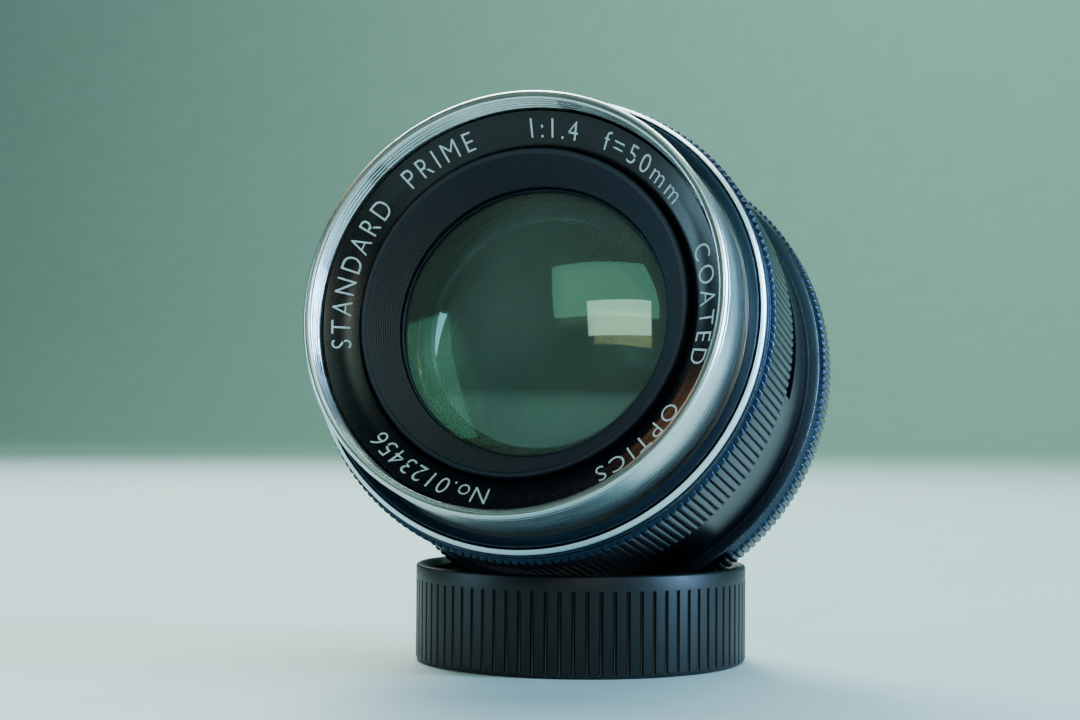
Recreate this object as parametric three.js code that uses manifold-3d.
// A 50 mm f/1.4 prime lens for a 42 mm screw mount, standing on its own rear cap.
//
// Millimetres, +Z up. The origin is the centre of the cap's underside. The lens leans back on
// the rim of the open cap, so everything on the lens is drawn in one tilted group, in which
// local +Y is the optical axis towards the film, local +Z is the lens's own top, and a station s
// is the distance behind the front rim.

import * as THREE from 'three';
import { mergeVertices } from 'three/addons/utils/BufferGeometryUtils.js';
import Module from 'manifold-3d';

const wasm = await Module();
wasm.setup();

// ---------- driving dimensions (mm, degrees) ----------

const OUTER_SIDES = 40; // facets round a visible ring
const INNER_SIDES = 24; // facets round an inner ring or a glass

const TILT = 13; // how far the front points up
const FRONT_Y = -32.0; // the front rim's centre
const FRONT_Z = 47.4;

const FILTER_THREAD_R = 26.0; // 52 mm filter thread
const MOUNT_THREAD_R = 21.0; // M42 x 1 thread
const FLANGE_S = 45.5; // the face that meets the camera
const MOUNT_END_S = 50.2;

const FILTER_RING_R = 27.5;
const FILTER_RING_END = 9.0;
const FOCUS_RING_R = 30.75;
const FOCUS_START = 9.3;
const FOCUS_END = 24.6;
const BARREL_R = 30.3;
const BARREL_START = 24.9;
const BARREL_STEP_S = 36.3;
const BARREL_END = 42.6;
const APERTURE_RING_R = 32.7;

const CHANNEL_FROM = -11; // the focus stop's channel, degrees up from the +X side
const CHANNEL_TO = 217;
const CHANNEL_END_S = 28.5;
const CHANNEL_FLOOR_R = 29.3;
const LUG_WIDTH = 10; // degrees
const LUG_AT_INFINITY = 211; // degrees, centre of the lug at the infinity stop

const SWITCH_AT = 180; // the auto-manual switch, degrees
const SWITCH_WIDTH = 7;
const SWITCH_TRAVEL = 12;
const SWITCH_S = 31.4;
const SWITCH_LENGTH = 2.6;

const BLADES = 6;
const BLADE_INNER_R = 13.4;
const BLADE_OUTER_R = 21.9;
const BLADE_SPAN = 88; // degrees
const BLADE_THICK = 0.22;
const BLADE_PITCH = 0.52;
const BLADE_START = 28.3;

const CAP_R = 22.4;
const CAP_H = 13.0;
const CAP_INNER_R = 20.6;
const CAP_FLOOR = 1.6;
const CAP_LEAD_IN = 0.8; // chamfer inside the rim

const SCREW_CIRCLE_R = 26.6;
const SCREW_ANGLES = [30, 150, 270];
const SCREW_HEAD_R = 1.15;

const BALL_R = 0.75; // the aperture ring's click ball
const BALL_S = 39.5;
const BALL_CIRCLE_R = 28;

const PIN_R = 0.8;
const PIN_CIRCLE_R = 17.7;
const PIN_ANGLE = -90; // six o'clock, where the camera's push plate is

// ---------- finishes ----------

const finish = (color, roughness, metalness) => () =>
  new THREE.MeshStandardMaterial({ color, roughness, metalness });
const bareAluminium = finish(0xc6d0d0, 0.28, 1);
const blackAnodised = finish(0x14191d, 0.45, 0.6);
const glossBlack = finish(0x0c0f12, 0.2, 0.1);
const matteBlack = finish(0x0a0c0e, 0.75, 0.1);
const coatedGlass = finish(0x4f8f86, 0.03, 0);
const brass = finish(0xa88746, 0.35, 1);
const steel = finish(0x9aa0a4, 0.3, 1);
const blackPlastic = finish(0x14191b, 0.55, 0);

// ---------- shape helpers ----------

const rad = THREE.MathUtils.degToRad;

// Keeps only positions and merges shared corners, so that a geometry is one closed mesh.
function closed(geometry) {
  geometry.deleteAttribute('normal');
  geometry.deleteAttribute('uv');
  return mergeVertices(geometry, 1e-5);
}

// A solid of revolution about the optical axis. Corners are [radius, station] pairs, running
// anticlockwise when the radius points right and the station up.
function turned(corners, sides = OUTER_SIDES) {
  const onAxis = corners[0][0] === 0;
  const loop = onAxis ? corners : [...corners, corners[0]];
  return closed(new THREE.LatheGeometry(loop.map(([r, s]) => new THREE.Vector2(r, s)), sides));
}

// A plain tube between two radii and two stations.
function tube(innerR, outerR, start, end, sides = INNER_SIDES) {
  return turned([[innerR, start], [outerR, start], [outerR, end], [innerR, end]], sides);
}

// Points of a polished surface from the axis outwards: vertex station, signed radius, height.
function surface(vertexS, radius, height, steps = 3) {
  const points = [];
  for (let i = 0; i <= steps; i += 1) {
    const r = (height * i) / steps;
    const sag = radius - Math.sign(radius) * Math.sqrt(radius * radius - r * r);
    points.push([r, vertexS + sag]);
  }
  return points;
}

// One glass: front and rear surfaces, and the cylinder between them.
function glass(front, rear, edgeR) {
  const frontPoints = surface(...front);
  const rearPoints = surface(...rear).reverse();
  const frontEdge = frontPoints.at(-1)[1];
  const rearEdge = rearPoints[0][1];
  const rim = [];
  if (front[2] < edgeR) rim.push([edgeR, frontEdge]);
  if (rear[2] < edgeR) rim.push([edgeR, rearEdge]);
  return turned([...frontPoints, ...rim, ...rearPoints], INNER_SIDES);
}

// Gives a flat outline in the ring's plane (x, up) its thickness, between two stations.
function plate(shape, start, end, curveSegments = 8) {
  const depth = end - start;
  const geometry = new THREE.ExtrudeGeometry(shape, { depth, bevelEnabled: false, curveSegments });
  return closed(geometry.rotateX(Math.PI / 2).translate(0, end, 0));
}

// A piece of a ring between two radii and two angles.
function sector(innerR, outerR, from, to) {
  const shape = new THREE.Shape();
  shape.absarc(0, 0, outerR, rad(from), rad(to), false);
  shape.absarc(0, 0, innerR, rad(to), rad(from), true);
  shape.closePath();
  return shape;
}

// A boss, hole or pin along the optical axis, at a radius and an angle from +X.
function post(radius, start, end, circleR, angle, sides = 12) {
  const geometry = new THREE.CylinderGeometry(radius, radius, end - start, sides);
  return closed(geometry).translate(
    circleR * Math.cos(rad(angle)),
    (start + end) / 2,
    circleR * Math.sin(rad(angle)),
  );
}

function toManifold(geometry) {
  return new wasm.Manifold(
    new wasm.Mesh({
      numProp: 3,
      vertProperties: geometry.attributes.position.array,
      triVerts: new Uint32Array(geometry.index.array),
    }),
  );
}

function fromManifold(solid) {
  const mesh = solid.getMesh();
  const geometry = new THREE.BufferGeometry();
  geometry.setAttribute('position', new THREE.BufferAttribute(mesh.vertProperties, 3));
  geometry.setIndex(new THREE.BufferAttribute(mesh.triVerts, 1));
  return geometry;
}

function cut(geometry, ...tools) {
  let solid = toManifold(geometry);
  for (const tool of tools) solid = solid.subtract(toManifold(tool));
  return fromManifold(solid);
}

function join(geometry, ...others) {
  let solid = toManifold(geometry);
  for (const other of others) solid = solid.add(toManifold(other));
  return fromManifold(solid);
}

function piece(parent, name, geometry, material) {
  const mesh = new THREE.Mesh(geometry, material());
  mesh.name = name;
  parent.add(mesh);
  return mesh;
}

// ---------- the rear cap, open side up ----------

function addRearCap(parent) {
  const geometry = turned([
    [0, 0],
    [CAP_R - 0.8, 0],
    [CAP_R - 0.3, 0.6],
    [CAP_R, 0.6],
    [CAP_R, CAP_H - 0.3],
    [CAP_R - 0.3, CAP_H],
    [CAP_INNER_R + CAP_LEAD_IN, CAP_H],
    [CAP_INNER_R, CAP_H - CAP_LEAD_IN],
    [CAP_INNER_R, CAP_FLOOR],
    [0, CAP_FLOOR],
  ]);
  piece(parent, 'rear_cap', geometry.rotateX(Math.PI / 2), blackPlastic);
}

// ---------- the focusing part: everything that moves along the axis ----------

function addFrontRings(lens) {
  piece(lens, 'filter_ring', turned([
    [FILTER_THREAD_R + 0.2, 0],
    [FILTER_RING_R - 0.6, 0],
    [FILTER_RING_R - 0.25, 0.4],
    [FILTER_RING_R, FILTER_RING_END],
    [24.5, FILTER_RING_END],
    [24.5, 6.4],
    [FILTER_THREAD_R, 6.4],
    [FILTER_THREAD_R, 0.3],
  ]), bareAluminium);
  piece(lens, 'name_ring', turned([
    [25.7, 3.3],
    [25.7, 6.1],
    [24.0, 6.1],
    [21.7, 6.9],
    [21.7, 5.8],
    [23.6, 4.8],
  ]), glossBlack);
  piece(lens, 'front_baffle', turned([
    [20.5, 4.9],
    [21.0, 4.6],
    [21.3, 4.9],
    [21.3, 10.0],
    [17.7, 10.0],
    [17.7, 9.6],
  ]), matteBlack);
}

function addFrontGroup(lens) {
  piece(lens, 'front_cell', turned([
    [21.6, 7.4],
    [23.7, 7.4],
    [23.7, 27.1],
    [14.9, 27.1],
    [14.9, 21.0],
    [16.6, 21.0],
    [16.6, 12.9],
    [19.1, 12.9],
    [19.1, 10.4],
    [21.6, 10.4],
  ], INNER_SIDES), matteBlack);
  piece(lens, 'front_retainer_ring', tube(17.4, 18.8, 10.25, 10.65), blackAnodised);
  piece(lens, 'glass_1', glass([7.0, 40, 18.7], [11.9, 250, 18.7], 18.7), coatedGlass);
  piece(lens, 'glass_2', glass([12.2, 22.5, 16.0], [17.7, 42, 16.0], 16.3), coatedGlass);
  piece(lens, 'glass_3', glass([19.9, 90, 14.6], [21.7, 17.5, 12.6], 14.6), coatedGlass);
}

// Blades lie one behind the other, each turning on a pivot half way across its width.
function addIris(lens) {
  piece(lens, 'iris_housing', turned([
    [BLADE_INNER_R - 0.2, 27.4],
    [23.8, 27.4],
    [23.8, 32.1],
    [23.1, 32.1],
    [23.1, 28.0],
    [BLADE_INNER_R - 0.2, 28.0],
  ], INNER_SIDES), blackAnodised);
  const middleR = (BLADE_INNER_R + BLADE_OUTER_R) / 2;
  const halfWidth = (BLADE_OUTER_R - BLADE_INNER_R) / 2;
  for (let i = 0; i < BLADES; i += 1) {
    const from = (360 / BLADES) * i;
    const to = from + BLADE_SPAN;
    const start = BLADE_START + BLADE_PITCH * i;
    const shape = new THREE.Shape();
    const endOf = (angle) => [middleR * Math.cos(rad(angle)), middleR * Math.sin(rad(angle))];
    shape.absarc(0, 0, BLADE_OUTER_R, rad(from), rad(to), false);
    shape.absarc(...endOf(to), halfWidth, rad(to), rad(to + 180), false);
    shape.absarc(0, 0, BLADE_INNER_R, rad(to), rad(from), true);
    shape.absarc(...endOf(from), halfWidth, rad(from + 180), rad(from + 360), false);
    piece(lens, `iris_blade_${i + 1}`, plate(shape, start, start + BLADE_THICK, 7), matteBlack);
  }
  piece(lens, 'iris_drive_ring', tube(17.5, 22.8, 31.5, 32.1), blackAnodised);
}

function addRearGroup(lens) {
  piece(lens, 'rear_cell', turned([
    [13.3, 32.4],
    [23.8, 32.4],
    [23.8, 33.4],
    [15.9, 33.4],
    [15.9, 52.9],
    [14.7, 52.9],
    [14.7, 42.6],
    [13.3, 42.6],
  ], INNER_SIDES), matteBlack);
  piece(lens, 'glass_4', glass([36.6, -17.5, 12.0], [38.1, 80, 13.0], 13.0), coatedGlass);
  piece(lens, 'glass_5', glass([38.4, 80, 13.0], [44.6, -26, 13.0], 13.0), coatedGlass);
  piece(lens, 'glass_6', glass([45.0, -90, 14.3], [48.8, -36, 14.3], 14.3), coatedGlass);
  piece(lens, 'glass_7', glass([49.1, 75, 14.3], [52.4, -200, 14.3], 14.3), coatedGlass);
  piece(lens, 'rear_spacer_ring', tube(13.7, 14.4, 46.2, 50.2), matteBlack);
  piece(lens, 'rear_retainer_ring', tube(13.2, 14.4, 52.3, 52.9), blackAnodised);
}

// ---------- focusing mount ----------

const KEY_ANGLES = { left: 180, right: 0 };
const KEY_FRONT = 24.0;
const HELICOID_END = 35.4;

function addHelicoids(lens) {
  const slotHalf = 4; // degrees
  const keyHalf = 3;
  const slots = Object.values(KEY_ANGLES).map((angle) =>
    plate(sector(22, 28, angle - slotHalf, angle + slotHalf), KEY_FRONT - 0.5, 37, 3));
  piece(lens, 'inner_helicoid', cut(tube(24.1, 26.3, 9.3, HELICOID_END), ...slots), brass);
  piece(lens, 'middle_helicoid', tube(26.6, 28.3, 11.6, HELICOID_END), bareAluminium);
  for (const [side, angle] of Object.entries(KEY_ANGLES)) {
    const outline = sector(24.5, 26.2, angle - keyHalf, angle + keyHalf);
    piece(lens, `focus_key_${side}`, plate(outline, KEY_FRONT, HELICOID_END + 0.1, 2), brass);
  }
}

function addFocusRing(lens) {
  piece(lens, 'focus_ring', turned([
    [27.9, FOCUS_START],
    [29.1, FOCUS_START],
    [29.1, 10.9],
    [30.1, 10.9],
    [30.1, 12.0],
    [FOCUS_RING_R, 12.3],
    [FOCUS_RING_R, FOCUS_END],
    [28.6, FOCUS_END],
    [28.6, 11.3],
    [27.9, 11.3],
  ]), blackAnodised);
  piece(lens, 'accent_ring', turned([
    [29.4, FOCUS_START],
    [29.55, FOCUS_START],
    [30.15, 9.9],
    [30.15, 10.6],
    [29.4, 10.6],
  ]), bareAluminium);
  const half = LUG_WIDTH / 2;
  const lug = sector(29.6, BARREL_R - 0.1, LUG_AT_INFINITY - half, LUG_AT_INFINITY + half);
  piece(lens, 'focus_stop_lug', plate(lug, BARREL_START, 27.8, 4), steel);
}

// ---------- the fixed barrel, with the stop's channel and the switch's pocket ----------

function addFixedBarrel(lens) {
  const body = turned([
    [28.6, BARREL_START],
    [BARREL_R, BARREL_START],
    [BARREL_R, BARREL_STEP_S],
    [28.7, BARREL_STEP_S],
    [28.7, BARREL_END],
    [25.2, BARREL_END],
    [25.2, 35.8],
    [28.6, 35.8],
  ]);
  const channel = plate(
    sector(CHANNEL_FLOOR_R, 34, CHANNEL_FROM, CHANNEL_TO), BARREL_START - 1, CHANNEL_END_S, 26);
  const reach = SWITCH_WIDTH / 2 + 1;
  const pocket = plate(
    sector(29.4, 34, SWITCH_AT - SWITCH_TRAVEL - reach, SWITCH_AT + reach),
    SWITCH_S - 0.4, SWITCH_S + SWITCH_LENGTH + 0.4, 5);
  const ballHoleR = BALL_R + 0.3;
  const ballHole = closed(new THREE.CylinderGeometry(ballHoleR, ballHoleR, 8, 10))
    .rotateX(Math.PI / 2)
    .translate(0, BALL_S, 1 - BALL_CIRCLE_R);
  piece(lens, 'fixed_barrel', cut(body, channel, pocket, ballHole), blackAnodised);
}

function addSwitch(lens) {
  const half = SWITCH_WIDTH / 2;
  const foot = sector(29.7, 30.9, SWITCH_AT - half, SWITCH_AT + half);
  const grip = sector(30.4, 32.0, SWITCH_AT - half * 0.55, SWITCH_AT + half * 0.55);
  const body = join(
    plate(foot, SWITCH_S, SWITCH_S + SWITCH_LENGTH, 3),
    plate(grip, SWITCH_S + 0.4, SWITCH_S + SWITCH_LENGTH - 0.4, 3));
  piece(lens, 'auto_manual_switch', body, steel);
}

function addApertureRing(lens) {
  piece(lens, 'aperture_ring', turned([
    [BARREL_R + 0.3, 36.6],
    [APERTURE_RING_R - 0.7, 36.6],
    [APERTURE_RING_R - 0.4, 38.2],
    [APERTURE_RING_R, 38.5],
    [APERTURE_RING_R, 42.2],
    [APERTURE_RING_R - 0.3, 42.5],
    [29.0, 42.5],
    [29.0, 36.6],
  ]), blackAnodised);
  const ball = closed(new THREE.SphereGeometry(BALL_R, 10, 8)).translate(0, BALL_S, -BALL_CIRCLE_R);
  piece(lens, 'click_ball', ball, steel);
  piece(lens, 'click_spring', clickSpring(), steel);
}

// A short coil under the ball, its turns rising outwards.
function clickSpring() {
  const turns = 2.5;
  const steps = 20;
  const coilR = 0.55;
  const seatR = 25.6;
  const height = 1.2;
  const wireR = 0.1;
  const points = [];
  for (let i = 0; i <= steps; i += 1) {
    const angle = (turns * 2 * Math.PI * i) / steps;
    const x = coilR * Math.cos(angle);
    const s = BALL_S + coilR * Math.sin(angle);
    points.push(new THREE.Vector3(x, s, -seatR - (height * i) / steps));
  }
  const wire = new THREE.Shape().absarc(0, 0, wireR, 0, 2 * Math.PI, false);
  const extrudePath = new THREE.CatmullRomCurve3(points);
  return closed(new THREE.ExtrudeGeometry(wire, { steps: 30, extrudePath, curveSegments: 3 }));
}

// ---------- the mount ----------

function addMount(lens) {
  const body = turned([
    [19.3, 42.9],
    [28.2, 42.9],
    [28.2, FLANGE_S - 0.4],
    [27.9, FLANGE_S],
    [MOUNT_THREAD_R, FLANGE_S],
    [MOUNT_THREAD_R, MOUNT_END_S - 0.4],
    [MOUNT_THREAD_R - 0.4, MOUNT_END_S],
    [19.3, MOUNT_END_S],
  ]);
  const heads = SCREW_ANGLES.map((angle) =>
    post(SCREW_HEAD_R + 0.3, 43.9, 47, SCREW_CIRCLE_R, angle));
  const shanks = SCREW_ANGLES.map((angle) => post(0.9, 42, 45, SCREW_CIRCLE_R, angle));
  piece(lens, 'mount_plate', cut(body, ...heads, ...shanks), blackAnodised);
  SCREW_ANGLES.forEach((angle, i) => {
    const screw = join(
      post(SCREW_HEAD_R, 44.2, 45.2, SCREW_CIRCLE_R, angle),
      post(0.6, 42.9, 44.4, SCREW_CIRCLE_R, angle, 8));
    const slot = closed(new THREE.BoxGeometry(3, 0.8, 0.4)).rotateY(rad(20 * i)).translate(
      SCREW_CIRCLE_R * Math.cos(rad(angle)), 45.3, SCREW_CIRCLE_R * Math.sin(rad(angle)));
    piece(lens, `mount_screw_${i + 1}`, cut(screw, slot), steel);
  });
  const shield = cut(tube(16.2, 19.0, 46.4, 47.0),
    post(PIN_R + 0.25, 46, 48, PIN_CIRCLE_R, PIN_ANGLE));
  piece(lens, 'rear_light_shield', shield, matteBlack);
  piece(lens, 'stopdown_pin', post(PIN_R, 41.0, 51.2, PIN_CIRCLE_R, PIN_ANGLE), steel);
}

// ---------- assembly ----------

const part = new THREE.Group();
addRearCap(part);

const lens = new THREE.Group();
lens.position.set(0, FRONT_Y, FRONT_Z);
lens.rotation.x = -rad(TILT);
part.add(lens);

addFrontRings(lens);
addFrontGroup(lens);
addIris(lens);
addRearGroup(lens);
addHelicoids(lens);
addFocusRing(lens);
addFixedBarrel(lens);
addSwitch(lens);
addApertureRing(lens);
addMount(lens);

export default part;
